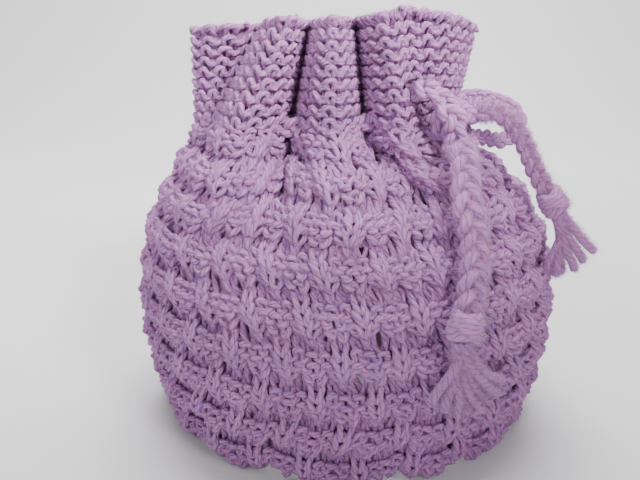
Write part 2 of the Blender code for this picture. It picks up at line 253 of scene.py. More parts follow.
# Ends of the tassels' strands: place in the fan, how far along, how far off the cloth or forward
FRONT_FAN = (
    (-11.6, 4, 5.4), (-8.4, 0, 6.4), (-5.0, -2.5, 7.2), (-1.4, -3, 5.6),
    (2.4, -3, 7.4), (6.0, -1.5, 5.8), (9.2, 1, 6.6), (12.0, 5, 5.2),
)
RIGHT_FAN = (
    (-10, 0, 0), (-6.2, -2.2, -2), (-2.6, -3.4, 1.5), (1.2, -3.2, -1.2), (5.2, -2, 1.4), (9.2, 1, 0),
)
# The middle of each fan: across and up the front, with the cloth's share for 1 mm, and in space
FRONT_FAN_AT = (0.632, 40.5)
FRONT_FAN_STEP = 0.0046
RIGHT_FAN_AT = (86.0, -43.0, 76.0)
RIGHT_FAN_SLOPE = 0.42

# ---- The view ----
CAMERA_PLACE = (-11.6, -275.0, 150.0)
CAMERA_PITCH = -15.6
LENS = 35.0
# In metres, as the lamps' places and sizes are
FLOOR_REACH = 3.0
FLOOR_BEND_AT = 1.0
FLOOR_BEND_RADIUS = 0.8
WALL_TOP = 4.0
LAMPS = (
    # name, place, place aimed at, spread in degrees, size, power, colour
    ("key", (0.26, -0.42, 0.46), (0.0, -0.02, 0.26), 44, 0.19, 0.80, (1.0, 0.985, 0.97)),
    ("fill", (-0.35, -0.9, 0.5), (0, 0, 0.275), 36, 0.5, 0.62, (0.97, 0.975, 1.0)),
    ("wall", (0.0, 0.60, 1.9), (0, 1.3, 0.3), 180, 1.6, 78.0, (1.0, 1.0, 1.0)),
)
ROOM_COLOUR = (0.90, 0.91, 0.95, 1)
ROOM_STRENGTH = 0.42


def length_setting(name, default, description):
    return bpy.props.FloatProperty(name=name, description=description, default=default, unit="LENGTH")


def colour_setting(name, default, description):
    return bpy.props.FloatVectorProperty(
        name=name, description=description, default=default, subtype="COLOR", size=3, min=0, max=1
    )


class CosySizes(bpy.types.PropertyGroup):
    """Sizes that a knitter would choose."""

    yarn: length_setting("Yarn", 0.0023, "Thickness of the knitting yarn")
    loop_depth: length_setting("Loop depth", 0.0014, "How far a stitch stands off the cloth's middle")
    relief: length_setting("Relief", 0.0025, "How far the pattern stands out")
    ply_twist: length_setting("Ply twist", 0.0105, "Length of one turn of the yarn's plies")
    front_plait: length_setting("Front plait", 0.0105, "Width of the plait that lies on the front")
    right_plait: length_setting("Right plait", 0.0075, "Width of the plait that hangs at the right")


class CosyColours(bpy.types.PropertyGroup):
    """Colours of the wool and of the floor."""

    lit: colour_setting("Wool", (0.490, 0.218, 0.455), "The wool's own colour")
    cool: colour_setting("Cool wool", (0.395, 0.195, 0.490), "The bluer tone twisted in with it")
    # The deep wool is painted shade: the wool darkened in the grooves between the plies
    deep: colour_setting("Painted ply shade", (0.20, 0.075, 0.155), "The wool between the plies")
    fuzz: colour_setting("Loose fibres", (0.62, 0.36, 0.60), "The single fibres that stand off the yarn")
    floor: colour_setting("Floor", (0.76, 0.755, 0.765), "The plain floor")


def sizes():
    return bpy.context.scene.cosy_sizes


def colours():
    return bpy.context.scene.cosy_colours


# ---- Shape of the cloth ----


def smooth(value):
    """A rise from 0 to 1 that starts and ends level."""
    value = np.clip(value, 0.0, 1.0)
    return value * value * (3.0 - 2.0 * value)


def curve_through(knots, values, at):
    """A smooth curve through values, which stand at knots, read at the places in at."""
    knots = np.asarray(knots, float)
    values = np.asarray(values, float)
    slopes = np.gradient(values, knots, axis=0)
    at = np.clip(np.asarray(at, float), knots[0], knots[-1])
    index = np.clip(np.searchsorted(knots, at, side="right") - 1, 0, len(knots) - 2)
    step = knots[index + 1] - knots[index]
    part = (at - knots[index]) / step
    if values.ndim > 1:
        step = step[:, None]
        part = part[:, None]
    rise = part * part * (3 - 2 * part)
    lead = part * (1 - part) ** 2
    trail = part * part * (part - 1)
    shape = values[index] * (1 - rise) + values[index + 1] * rise
    return shape + step * (slopes[index] * lead + slopes[index + 1] * trail)


def unit(vectors):
    """The same directions, each of length 1."""
    return vectors / np.linalg.norm(vectors, axis=-1, keepdims=True)


def step_lengths(points):
    return np.linalg.norm(np.diff(points, axis=0), axis=1)


def column(table, number):
    return np.array([row[number] for row in table], float)


def with_shoulders(folds):
    """The fold table's numbers, with a shoulder added on each side of every pleat."""
    rows = []
    for index, (name, *values) in enumerate(folds):
        values = np.array(values, float)
        if not name.startswith("pleat"):
            rows.append(values)
            continue
        for step in (-1, 0, 1):
            beside = np.array(folds[index + step][1:], float)
            share = np.array([SHOULDER_SPREAD, SHOULDER_DROP, SHOULDER_SPREAD, SHOULDER_DROP, 0.5])
            rows.append(values + (beside - values) * share)
    return np.array(rows)


class Panel:
    """One knitted panel, as a surface: across runs 0 to 1 from the left seam, up is in millimetres."""

    def __init__(self, folds, notches, facing):
        self.notches = np.array(notches, float)
        self.facing = facing
        rows = with_shoulders(folds)
        order = np.arange(len(rows))
        fine = np.linspace(0, len(rows) - 1, 900)
        neck = curve_through(order, rows[:, 0:2], fine)
        top = curve_through(order, rows[:, 2:4], fine)
        length = np.zeros(len(fine))
        for line in (neck, top):
            steps = step_lengths(line)
            length[1:] += np.cumsum(steps) / steps.sum() / 2
        self.across = length
        self.neck = neck
        self.top = top
        self.top_height = curve_through(order, rows[:, 4], fine)

    def along(self, values, across):
        return np.interp(across, self.across, values)

    def scallop(self, across):
        """How far the hem's edge stands off the ground, 0 under each scallop."""
        index = np.clip(np.searchsorted(self.notches, across, side="right") - 1, 0, len(self.notches) - 2)
        start = self.notches[index]
        part = (across - start) / (self.notches[index + 1] - start)
        round_edge = np.sqrt(np.clip(np.sin(np.pi * part), 0, 1))
        return NOTCH_DEPTH * (1 - round_edge)

    def slit(self, up, span):
        start, end, bow = span
        part = np.clip((up - start) / (end - start), 0, 1)
        return SEAM_GAP / 2 + bow * np.sin(np.pi * part) ** 0.8

    def point(self, across, up):
        across, up = np.broadcast_arrays(np.asarray(across, float), np.asarray(up, float))
        knots = column(LEVELS, 1)
        height, half_width, half_depth, centre = (
            curve_through(knots, column(LEVELS, number), up.ravel()).reshape(up.shape)
            for number in (2, 3, 4, 5)
        )
        # The smooth oval of the body, open at the slits
        from_left = np.arcsin(self.slit(up, SPOUT_SLIT) / half_depth)
        from_right = np.arcsin(self.slit(up, HANDLE_SLIT) / half_depth)
        turn = -math.pi / 2 + from_left + across * (math.pi - from_left - from_right)
        x = centre + half_width * np.sin(turn)
        out = half_depth * np.cos(turn)
        # The folds, full at the neck and above it
        neck_turn = math.pi * (across - 0.5)
        neck_level = LEVELS[5]
        oval_x = neck_level[5] + neck_level[3] * np.sin(neck_turn)
        oval_out = neck_level[4] * np.cos(neck_turn)
        fold_x = self.along(self.neck[:, 0], across)
        fold_out = self.along(self.neck[:, 1], across)
        gathered = smooth((up - FOLDS_START) / (BODY_LENGTH - FOLDS_START))
        x = x + gathered * (fold_x - oval_x)
        out = out + gathered * (fold_out - oval_out)
        # The frill, from the neck's folds to the top edge's
        rise = np.clip((up - BODY_LENGTH) / (CLOTH_LENGTH - BODY_LENGTH), 0, 1)
        above = up > BODY_LENGTH
        frill_x = fold_x + rise * (self.along(self.top[:, 0], across) - fold_x)
        frill_out = fold_out + rise * (self.along(self.top[:, 1], across) - fold_out)
        x = np.where(above, frill_x, x)
        out = np.where(above, frill_out + SEAM_GAP / 2, out)
        height = height + rise * (self.along(self.top_height, across) - TOP_HEIGHT)
        # The hem's scallops, and its corner caught up by the spout
        low = np.exp(-up / SCALLOP_REACH)
        edge = self.scallop(across)
        corner = np.exp(-((across / CORNER_SPREAD) ** 2)) * np.exp(-up / CORNER_REACH)
        swell = 1 + SCALLOP_FLARE / 80 * (1 - edge / NOTCH_DEPTH) * low
        height = height + edge * low + CORNER_LIFT * corner - SCALLOP_FLAT * low
        x = x * swell - CORNER_PUSH * corner
        out = out * swell
        return np.stack([x, self.facing * out, np.maximum(height, 0)], axis=-1)

    def outward(self, across, up):
        """The cloth's outward direction."""
        small = 0.002
        wide = self.point(np.clip(across + small, 0, 1), up) - self.point(np.clip(across - small, 0, 1), up)
        tall = self.point(across, up + 0.5) - self.point(across, np.maximum(up - 0.5, 0))
        return unit(np.cross(wide, tall) * -self.facing)

    def lifted(self, across, up, lift):
        """Points that far outside the middle of the cloth."""
        across, up = np.broadcast_arrays(np.asarray(across, float), np.asarray(up, float))
        return self.point(across, up) + np.asarray(lift)[..., None] * self.outward(across, up)


FRONT = Panel(FRONT_FOLDS, FRONT_NOTCHES, -1)
BACK = Panel(BACK_FOLDS, BACK_NOTCHES, 1)


# ---- Routes of the cords ----


def smooth_route(points, count):
    """Evenly spaced points on one smooth curve through the route's points."""
    points = np.array(points, float)
    knots = np.r_[0, np.cumsum(np.sqrt(step_lengths(points)))]
    fine = curve_through(knots, points, np.linspace(0, knots[-1], 1200))
    length = np.r_[0, np.cumsum(step_lengths(fine))]
    even = np.linspace(0, length[-1], count)
    return np.stack([np.interp(even, length, fine[:, axis]) for axis in range(3)], axis=1)


def leave_knot(direction):
    """Two points straight out of the tie knot: on its skin, and a little further."""
    way = np.array(direction, float)
    way /= np.linalg.norm(way)
    skin = 1 / np.linalg.norm(way / np.array(TIE_KNOT_SIZE)) + TOUCH_GAP
    centre = np.array(TIE_KNOT)
    return [centre + way * skin, centre + way * (skin + KNOT_LEAD)]


def ring_points():
    turns = np.radians(RING_TURNS)
    x = RING_CENTRE_X + RING_HALF_WIDTH * np.cos(turns)
    y = RING_HALF_DEPTH * np.sin(turns)
    return np.stack([x, y, np.full(len(turns), RING_HEIGHT)], axis=1)


def drawstring_route(count):
    return smooth_route(
        [*leave_knot(TO_NECK), *ROUTE_IN, *ring_points(), *ROUTE_OUT, *leave_knot(TO_FRILL)[::-1]], count
    )


def front_route(count):
    lie = [FRONT.lifted(*place) for place in FRONT_LIE]
    return smooth_route([*leave_knot(TO_FRONT), *FRONT_DROP, *lie], count)


def right_route(count):
    return smooth_route([*leave_knot(TO_RIGHT), *RIGHT_ROUTE], count)


def loop_route(count):
    return smooth_route([*leave_knot(TO_LOOP), *LOOP_ROUTE, *leave_knot(FROM_LOOP)[::-1]], count)


# ---- Nodes ----


def add_node(tree, kind, feeds=None, **settings):
    """A new node with those settings; each feed is a value for an input, or the socket that feeds it."""
    node = tree.nodes.new(kind)
    for name, value in settings.items():
        setattr(node, name, value)
    for name, feed in (feeds or {}).items():
        if isinstance(feed, bpy.types.NodeSocket):
            tree.links.new(feed, node.inputs[name])
        else:
            node.inputs[name].default_value = feed
    return node


def new_group(name, *inputs):
    """A Geometry Nodes group with a geometry and these inputs: its tree, and its inputs' sockets."""
    tree = bpy.data.node_groups.new(name, "GeometryNodeTree")
    for socket, kind in (("Geometry", "Geometry"), *inputs):
        tree.interface.new_socket(socket, in_out="INPUT", socket_type="NodeSocket" + kind)
    tree.interface.new_socket("Geometry", in_out="OUTPUT", socket_type="NodeSocketGeometry")
    return tree, tree.nodes.new("NodeGroupInput").outputs


def give_result(tree, geometry, wool):
    """Ends a group: real geometry in its material."""
    real = add_node(tree, "GeometryNodeRealizeInstances", {"Geometry": geometry})
    dyed = add_node(tree, "GeometryNodeSetMaterial", {"Geometry": real.outputs[0], "Material": wool})
    add_node(tree, "NodeGroupOutput", {"Geometry": dyed.outputs[0]})


def made_plain(name, source, tree, values):
    """What the group makes of a source object, as one plain mesh; the source itself goes."""
    modifier = source.modifiers.new(tree.name, "NODES")
    modifier.node_group = tree
    for item in tree.interface.items_tree:
        if item.in_out == "INPUT" and item.name in values:
            modifier[item.identifier] = values[item.name]
    graph = bpy.context.evaluated_depsgraph_get()
    mesh = bpy.data.meshes.new_from_object(source.evaluated_get(graph))
    mesh.name = name
    bpy.data.objects.remove(source)
    if not mesh.polygons:
        raise RuntimeError(f"{name} came out empty")
    return place_in_scene(name, mesh)


def place_in_scene(name, data):
    """A new object for a mesh, a curve, a lamp or a camera."""
    placed = bpy.data.objects.new(name, data)
    bpy.context.collection.objects.link(placed)
    return placed


# ---- Wool ----


def new_material(name, roughness):
    """A material with its node tree and its shader's inputs."""
    material = bpy.data.materials.new(name)
    material.use_nodes = True
    shader = material.node_tree.nodes["Principled BSDF"].inputs
    shader["Roughness"].default_value = roughness
    return material, material.node_tree, shader


def wool_material(name, shades, plies, twist, ply_depth, sheen):
    """Plied yarn: plies and fibres wind round the strand, which the mesh's own attributes describe."""
    lit, cool, deep = ((*shade, 1) for shade in shades)
    material, tree, shader = new_material(name, 0.9)
    node = functools.partial(add_node, tree)
    shader["Sheen Weight"].default_value = sheen
    shader["Sheen Roughness"].default_value = 0.5
    shader["Sheen Tint"].default_value = (0.93, 0.80, 1.0, 1.0)
    shader["Specular IOR Level"].default_value = 0.12

    def maths(operation, *feeds):
        return node("ShaderNodeMath", dict(enumerate(feeds)), operation=operation).outputs[0]

    def noise(place, scale, detail, roughness=0.5):
        feeds = {"Vector": place, "Scale": scale, "Detail": detail, "Roughness": roughness}
        return node("ShaderNodeTexNoise", feeds).outputs["Fac"]

    def spread(value, start, end, low, high):
        feeds = {"Value": value, "From Min": start, "From Max": end, "To Min": low, "To Max": high}
        return node("ShaderNodeMapRange", feeds).outputs[0]

    def blend(kind, factor, first, second):
        feeds = {"Factor": factor, "A": first, "B": second}
        return node("ShaderNodeMix", feeds, data_type=kind).outputs["Result"]

    ring = node("ShaderNodeAttribute", attribute_name="ring").outputs["Vector"]
    along = node("ShaderNodeAttribute", attribute_name="along").outputs["Fac"]
    round_it = node("ShaderNodeSeparateXYZ", {0: ring}).outputs
    angle = maths("ARCTAN2", round_it["Y"], round_it["X"])
    turns = maths("MULTIPLY_ADD", along, 2 * math.pi / twist, angle)
    ply = maths("ABSOLUTE", maths("SINE", maths("MULTIPLY", turns, plies / 2)))
    # A place in the wound yarn, so that what is drawn there lies along the plies
    axes = (maths("COSINE", turns), maths("SINE", turns), maths("MULTIPLY", along, 130))
    wound = node("ShaderNodeCombineXYZ", dict(zip("XYZ", axes))).outputs[0]
    fibre = noise(wound, 4.2, 4, 0.62)
    strand = noise(wound, 1.1, 2)
    patch = noise(node("ShaderNodeTexCoord").outputs["Object"], 70, 2)
    height = maths("MULTIPLY_ADD", fibre, 1.1, ply)
    bump = node("ShaderNodeBump", {"Height": height, "Strength": 0.85, "Distance": ply_depth})
    tree.links.new(bump.outputs["Normal"], shader["Normal"])
    # Two dyed tones side by side in the strand, with painted shade deeper between the plies, paler single
    # fibres
    tones = blend("RGBA", spread(strand, 0.44, 0.62, 0, 1), lit, cool)
    colour = blend("RGBA", spread(ply, 0, 0.4, 0.15, 1), deep, tones)
    uneven = spread(blend("FLOAT", 0.28, fibre, patch), 0.3, 0.7, 0.62, 1.38)
    shade = node("ShaderNodeVectorMath", {0: colour, "Scale": uneven}, operation="SCALE")
    tree.links.new(shade.outputs["Vector"], shader["Base Color"])
    return material


def mottled(tree, colour, scale, detail, dark, edges):
    """A noise, and the colour with dark patches where the noise is low."""
    place = add_node(tree, "ShaderNodeTexCoord").outputs["Object"]
    noise = add_node(tree, "ShaderNodeTexNoise", {"Vector": place, "Scale": scale, "Detail": detail})
    ramp = add_node(tree, "ShaderNodeValToRGB", {"Fac": noise.outputs["Fac"]})
    for element, position, share in zip(ramp.color_ramp.elements, edges, (dark, 1)):
        element.position = position
        element.color = (*[value * share for value in colour], 1)
    return noise.outputs["Fac"], ramp.outputs["Color"]


def loose_fibre(name, colour):
    """The single fibres that stand off the yarn, which light passes through."""
    material, tree, shader = new_material(name, 0.8)
    _, shade = mottled(tree, colour, 400, 2, 0.75, (0.35, 0.65))
    tree.links.new(shade, shader["Base Color"])
    clear = add_node(tree, "ShaderNodeBsdfTranslucent", {"Color": shade})
    solid = tree.nodes["Principled BSDF"]
    feeds = {"Fac": 0.45, 1: solid.outputs["BSDF"], 2: clear.outputs["BSDF"]}
    both = add_node(tree, "ShaderNodeMixShader", feeds)
    tree.links.new(both.outputs["Shader"], tree.nodes["Material Output"].inputs["Surface"])
    return material


def shade_sheet_wool(name, colour):
    """The wool seen deep between the stitches, its own lilac darkened as painted shade."""
    material, tree, shader = new_material(name, 1.0)
    noise, shade = mottled(tree, colour, 900, 4, 0.55, (0.3, 0.7))
    tree.links.new(shade, shader["Base Color"])
    bump = add_node(tree, "ShaderNodeBump", {"Height": noise, "Distance": 0.0004})
    tree.links.new(bump.outputs["Normal"], shader["Normal"])
    return material


def named_wool(name):
    """The material of that name, made when it is first asked for."""
    if name in bpy.data.materials:
        return bpy.data.materials[name]
    shades = colours()
    tones = (tuple(shades.lit), tuple(shades.cool), tuple(shades.deep))
    twist = sizes().ply_twist
    if name == "knitting_yarn":
        return wool_material(name, tones, 3, twist, 0.0006, 0.12)
    if name == "plaiting_yarn":
        return wool_material(name, tones, 4, twist * 1.2, 0.0005, 0.25)
    if name == "loose_fibre":
        return loose_fibre(name, tuple(shades.fuzz))
    if name == "deep_wool":
        # The sheet's wool is the lit wool darkened, as painted shade between the stitches
        return shade_sheet_wool(name, tuple(PAINTED_SHADE_SHARE * value for value in tones[0]))
    raise RuntimeError(f"no wool called {name}")


# ---- Yarn from paths, and its loose fibres ----


def yarn_tree():
    """Geometry Nodes that turn paths into yarn: radius and sides are inputs, and the strand's length
    and the way round it are kept as attributes for its material."""
    if "Yarn" in bpy.data.node_groups:
        return bpy.data.node_groups["Yarn"]
    tree, given = new_group("Yarn", ("Radius", "Float"), ("Sides", "Int"), ("Wool", "Material"))
    node = functools.partial(add_node, tree)

    def keep(name, kind, geometry, value):
        feeds = {"Geometry": geometry, "Name": name, "Value": value}
        kept = node("GeometryNodeStoreNamedAttribute", feeds, data_type=kind, domain="POINT")
        return kept.outputs["Geometry"]

    length = node("GeometryNodeSplineParameter").outputs["Length"]
    path = keep("along", "FLOAT", given["Geometry"], length)
    circle = node("GeometryNodeCurvePrimitiveCircle", {"Resolution": given["Sides"], "Radius": 1.0})
    place = node("GeometryNodeInputPosition").outputs["Position"]
    ring = keep("ring", "FLOAT_VECTOR", circle.outputs["Curve"], place)
    sized = node("GeometryNodeTransform", {"Geometry": ring, "Scale": given["Radius"]})
    feeds = {"Curve": path, "Profile Curve": sized.outputs["Geometry"], "Fill Caps": True}
    sweep = node("GeometryNodeCurveToMesh", feeds)
    shade = node("GeometryNodeSetShadeSmooth", {"Geometry": sweep.outputs["Mesh"]})
    give_result(tree, shade.outputs["Geometry"], given["Wool"])
    return tree


def yarn_object(name, strands, radius, wool, sides=6):
    """Yarn along each strand, a list of points in millimetres with an optional radius factor."""
    data = bpy.data.curves.new(name + "_path", "CURVE")
    data.dimensions = "3D"
    for strand in strands:
        points = np.asarray(strand, float)
        line = data.splines.new("POLY")
        line.points.add(len(points) - 1)
        factor = points[:, 3] if points.shape[1] > 3 else np.ones(len(points))
        coordinates = np.c_[points[:, :3] * MM, np.ones(len(points))]
        line.points.foreach_set("co", coordinates.ravel())
        line.points.foreach_set("radius", factor)
    path = place_in_scene(name + "_path", data)
    values = {"Radius": radius, "Sides": sides, "Wool": named_wool(wool)}
    piece = made_plain(name, path, yarn_tree(), values)
    bpy.data.curves.remove(data)
    return piece


def fuzz_tree():
    """Geometry Nodes that scatter short fibres over yarn, on the side turned away from the axis."""
    if "Fuzz" in bpy.data.node_groups:
        return bpy.data.node_groups["Fuzz"]
    tree, given = new_group(
        "Fuzz", ("Fibre", "Object"), ("Density", "Float"), ("Length", "Float"), ("Seed", "Int"),
        ("Wool", "Material"),
    )
    node = functools.partial(add_node, tree)

    def above(value, least):
        compare = node("FunctionNodeCompare", {"A": value, "B": least}, operation="GREATER_THAN")
        return compare.outputs["Result"]

    def draw(kind, low, high):
        feeds = {"Min": low, "Max": high, "Seed": given["Seed"]}
        return node("FunctionNodeRandomValue", feeds, data_type=kind).outputs["Value"]

    place = node("GeometryNodeInputPosition").outputs[0]
    facing = node("GeometryNodeInputNormal").outputs[0]
    level = node("ShaderNodeVectorMath", {0: place, 1: (1, 1, 0)}, operation="MULTIPLY")
    feeds = {0: level.outputs["Vector"], 1: facing}
    turned = node("ShaderNodeVectorMath", feeds, operation="DOT_PRODUCT").outputs["Value"]
    height = node("ShaderNodeSeparateXYZ", {0: place}).outputs["Z"]
    feeds = {0: above(turned, FUZZ_LEAST_TURNED), 1: above(height, FUZZ_LEAST_HEIGHT)}
    outside = node("FunctionNodeBooleanMath", feeds, operation="AND")
    feeds = {"Mesh": given["Geometry"], "Selection": outside.outputs["Boolean"]}
    feeds.update({name: given[name] for name in ("Density", "Seed")})
    scatter = node("GeometryNodeDistributePointsOnFaces", feeds)
    feeds = {
        "Rotation": scatter.outputs["Rotation"],
        "Rotate By": draw("FLOAT_VECTOR", (-1.0, -1.0, -3.1), (1.0, 1.0, 3.1)),
    }
    lean = node("FunctionNodeRotateRotation", feeds, rotation_space="LOCAL")
    feeds = {0: draw("FLOAT", 0.35, 1.0), 1: given["Length"]}
    length = node("ShaderNodeMath", feeds, operation="MULTIPLY")
    source = node("GeometryNodeObjectInfo", {"Object": given["Fibre"]})
    feeds = {
        "Points": scatter.outputs["Points"],
        "Instance": source.outputs["Geometry"],
        "Rotation": lean.outputs["Rotation"],
        "Scale": length.outputs[0],
    }
    fibres = node("GeometryNodeInstanceOnPoints", feeds)
    give_result(tree, fibres.outputs["Instances"], given["Wool"])
    return tree


def fuzz_object(name, yarn_piece, count, length, seed):
    """About count short fibres that stand off a piece of yarn, as one plain mesh."""
    fibre_mesh = bpy.data.meshes.new("fibre")
    fibre_mesh.from_pydata([(-0.03, 0, 0), (0.03, 0, 0), (0.25, 0, 0.95)], [], [(0, 1, 2)])
    fibre = place_in_scene("fibre", fibre_mesh)
    ground = place_in_scene(name + "_ground", yarn_piece.data.copy())
    area = sum(face.area for face in ground.data.polygons)
    values = {
        "Fibre": fibre, "Density": 2 * count / area, "Length": length, "Seed": seed,
        "Wool": named_wool("loose_fibre"),
    }
    piece = made_plain(name, ground, fuzz_tree(), values)
    bpy.data.objects.remove(fibre)
    return piece


def finish_piece(piece, slot, *nodes):
    """Puts the piece on the cosy's body and hides the solids that it stands for; the finish it is given is
    not used.
    """
    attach(piece, "root")
    if nodes:
        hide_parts(*nodes)


# ---- Knitting ----


def tier_and_step(row):
    """The tier that a row is in, and how far up that tier it stands, in rows."""
    tier = np.floor(row / TIER_ROWS)
    return tier, row - tier * TIER_ROWS


def row_place(row):
    """How far up the cloth that row of the body stands, in millimetres; rows tighten upwards."""
    tier, step = tier_and_step(row)
    row = tier * TIER_ROWS + np.interp(step, range(TIER_ROWS + 1), TIER_STEPS)
    return ROW_START + ROW_PITCH * row - ROW_TIGHTENING * row * row


def frill_place(row):
    """How far up the cloth that row of the frill stands, in millimetres."""
    pitch = (CLOTH_LENGTH - BODY_LENGTH) / (FRILL_ROWS + FRILL_LOOP_HEIGHT - 1)
    return BODY_LENGTH - FRILL_OVERLAP + (pitch + FRILL_OVERLAP / FRILL_ROWS) * row


def widened(across_stitches, row):
    """The same place, moved outwards from its tier's nearest V column, whose stitch is the widest."""
    turn = 2 * np.pi * tier_repeat(across_stitches, row // TIER_ROWS)
    wave = np.sin(turn) + 0.5 * np.sin(2 * turn)
    return across_stitches + COLUMN_WIDENING * REPEAT / (2 * np.pi) * wave


def tier_repeat(across_stitches, tier):
    """Where a place stands in its tier's repeat: 0 at a V column, 0.5 in the middle of a purl block."""
    even = np.asarray(tier) % 2 == 0
    return across_stitches / REPEAT - np.where(even, TIER_PHASE[0], TIER_PHASE[1])


def body_is_knit(row, stitch):
    """True for a knit stitch: the V columns, and every stitch of a tier's last row."""
    tier, step = divmod(row, TIER_ROWS)
    column_at = tier_repeat(stitch + 0.5, tier)
    return (step == TIER_ROWS - 1) | (np.abs(column_at - np.round(column_at)) < COLUMN_REACH)


def hump(step, place, reach):
    """1 at that place up the tier, falling away to both sides."""
    return np.exp(-(((step - place) / reach) ** 2))


def body_relief(across_stitches, row):
    """How far the cloth itself swells there, from about -1 in a groove to 1 on a purl block."""
    tier, step = tier_and_step(row)
    wave = np.cos(2 * np.pi * tier_repeat(across_stitches, tier))
    block = 1.1 * (0.5 - 0.5 * wave) * hump(step, 0.9, 1.25)
    column = 1.3 * (0.5 + 0.5 * wave) ** 2 * hump(step, 1.7, 1.4)
    corner = 0.5 - 0.5 * np.cos(4 * np.pi * tier_repeat(across_stitches, tier))
    return block + column - (0.5 + 0.6 * corner) * hump(step, 3.5, 0.6)


def body_sag(across_stitches, row):
    """How far rows hang down at tier edges: under V columns and blocks, up between them; in mm."""
    _, step = tier_and_step(row)
    wave = np.cos(4 * np.pi * tier_repeat(across_stitches, 0))
    return SAG * wave * (0.5 + 0.5 * np.cos(2 * np.pi * step / TIER_ROWS))


def frill_is_knit(row, stitch):
    """True for every stitch of every second row."""
    return np.full(np.shape(stitch), row % 2 == 1)


def frill_relief(across_stitches, row):
    """Garter ridges stand out where a purl row meets the row below it."""
    return 0.5 * np.cos(np.pi * (row - 0.15))


def kind_sign(knit, place):
    """-1 along purl stitches and 1 along knit ones, changing smoothly where two kinds meet."""
    kinds = np.where(knit, 1.0, -1.0)
    stitch = np.clip(place.astype(int), 0, len(kinds) - 1)
    part = place - stitch
    before = kinds[np.maximum(stitch - 1, 0)]
    after = kinds[np.minimum(stitch + 1, len(kinds) - 1)]
    here = kinds[stitch]
    edge = 0.22
    lead = smooth(part / edge) * 0.5 + 0.5
    trail = smooth((1 - part) / edge) * 0.5 + 0.5
    sign = np.where(part < edge, before + (here - before) * lead, here)
    return np.where(part > 1 - edge, after + (here - after) * trail, sign)


def knit_rows(panel, rows, stitches, pattern, eyelets, draws):
    """One yarn, back and forth through these rows, as points in millimetres.

    A knit stitch's foot lies behind and its legs before the cloth's middle, and a purl stitch's the
    other way round. Its head lies as the stitch above asks for: behind a knit one, before a purl one.
    """
    is_knit, relief, place_up, loop_height, (knit_bulge, purl_bulge), widen = pattern
    size = sizes()
    depth = size.loop_depth / MM
    swell = size.relief / MM
    steps = np.arange(stitches * POINTS_PER_STITCH) / POINTS_PER_STITCH
    numbers = np.arange(stitches)
    turn = 2 * np.pi * (steps % 1)
    foot = np.clip(np.cos(turn), 0, 1) ** 2
    head = np.clip(-np.cos(turn), 0, 1) ** 2
    yarn = []
    for row in rows:
        jitter = draws.normal(0, 1, (3, stitches + 1))
        uneven = [np.interp(steps, np.arange(stitches + 1), line) for line in jitter]
        own = kind_sign(is_knit(row, numbers), steps)
        above = kind_sign(is_knit(row + 1, numbers), steps)
        bulge = (knit_bulge + purl_bulge) / 2 + (knit_bulge - purl_bulge) / 2 * own
        x = steps + bulge * np.sin(2 * turn) + LEG_SPREAD * own * np.sin(turn) + UNEVEN_ACROSS * uneven[0]
        if widen:
            x = widened(x, row)
        rise = (1 - np.cos(turn)) / 2 * loop_height * (1 + UNEVEN_RISE * uneven[1])
        lift = depth * (own * (np.sin(turn) ** 2 - foot) - above * head) * (1 + UNEVEN_LIFT * uneven[2])
        lift = lift + swell * relief(x, row + rise * LOOP_MIDDLE) - STITCH_SINK
        up = place_up(row + rise)
        if widen:
            up = np.maximum(up - body_sag(x, row + rise), LOWEST_ROW)
        order = slice(None, None, -1) if row % 2 else slice(None)
        plump = 1 + COLUMN_PLUMPNESS * np.clip(own, 0.0 if widen else 0.5, 1) + UNEVEN_PLUMP * uneven[1]
        yarn.append(np.stack([x / stitches, up, lift, plump], axis=1)[order])
    path = np.vstack(yarn)
    across, up = open_eyelets(path[:, 0], path[:, 1], eyelets)
    points = panel.lifted(np.clip(across, SELVEDGE, 1 - SELVEDGE), up, path[:, 2])
    points[:, 2] = np.maximum(points[:, 2], LOWEST_YARN)
    return np.c_[points, path[:, 3]]


def bound_edge(panel):
    """The last stitches cast off: one yarn coiled along the frill's upper edge."""
    part = np.linspace(0.008, 0.992, EDGE_COILS * 10)
    turn = 2 * np.pi * EDGE_COILS * part
    up = CLOTH_LENGTH - 0.4 + 1.25 * np.sin(turn) + 0.3 * np.sin(turn * 0.37)
    lift = 1.35 * np.cos(turn) - STITCH_SINK * 0.6
    return panel.lifted(part + 0.004 * np.sin(2 * turn), up, lift)


def stitch_holes(draws):
    """Small gaps where a V column's foot meets the blocks beside it, as (across, up, radius)."""
    holes = []
    for tier in range(BODY_ROWS // TIER_ROWS):
        for column_number in range(BODY_STITCHES // REPEAT):
            centre = (TIER_PHASE[tier % 2] + column_number) * REPEAT
            for side in (-1, 1):
                size = draws.uniform(*HOLE_SIZES)
                place = (centre + side * HOLE_BESIDE + draws.normal(0, 0.06)) / BODY_STITCHES
                if size > 0 and 0.03 < place < 0.97 and tier > 0:
                    holes.append((place, row_place(tier * TIER_ROWS - 0.3), size))
    return holes


def open_eyelets(across, up, eyelets):
    """Pushes the cloth aside round each eyelet: (across, up, radius)."""
    for centre, height, radius in eyelets:
        wide = (across - centre) * CLOTH_SPAN
        tall = up - height
        away = np.hypot(wide, tall) + 1e-6
        push = radius * np.exp(-((away / (1.5 * radius + 1.2)) ** 2)) / away
        across = across + wide * push / CLOTH_SPAN
        up = up + tall * push
    return across, up


def drawstring_eyelets(panel):
    """Where the drawstring goes through this panel, as (across, up, radius)."""
    across, up = np.meshgrid(np.linspace(0, 1, 300), np.linspace(*EYELET_LEVELS, 27))
    cloth = panel.point(across, up).reshape(-1, 3)
    away = [np.linalg.norm(cloth - point, axis=1) for point in drawstring_route(400)]
    nearest = [int(line.argmin()) for line in away]
    distance = np.array([line.min() for line in away])
    found = []
    for index in range(1, len(distance) - 1):
        lowest = distance[index] == distance[max(0, index - 12) : index + 13].min()
        if lowest and distance[index] < EYELET_NEAR:
            place = nearest[index]
            found.append((across.flat[place], up.flat[place], EYELET_RADIUS))
    return found


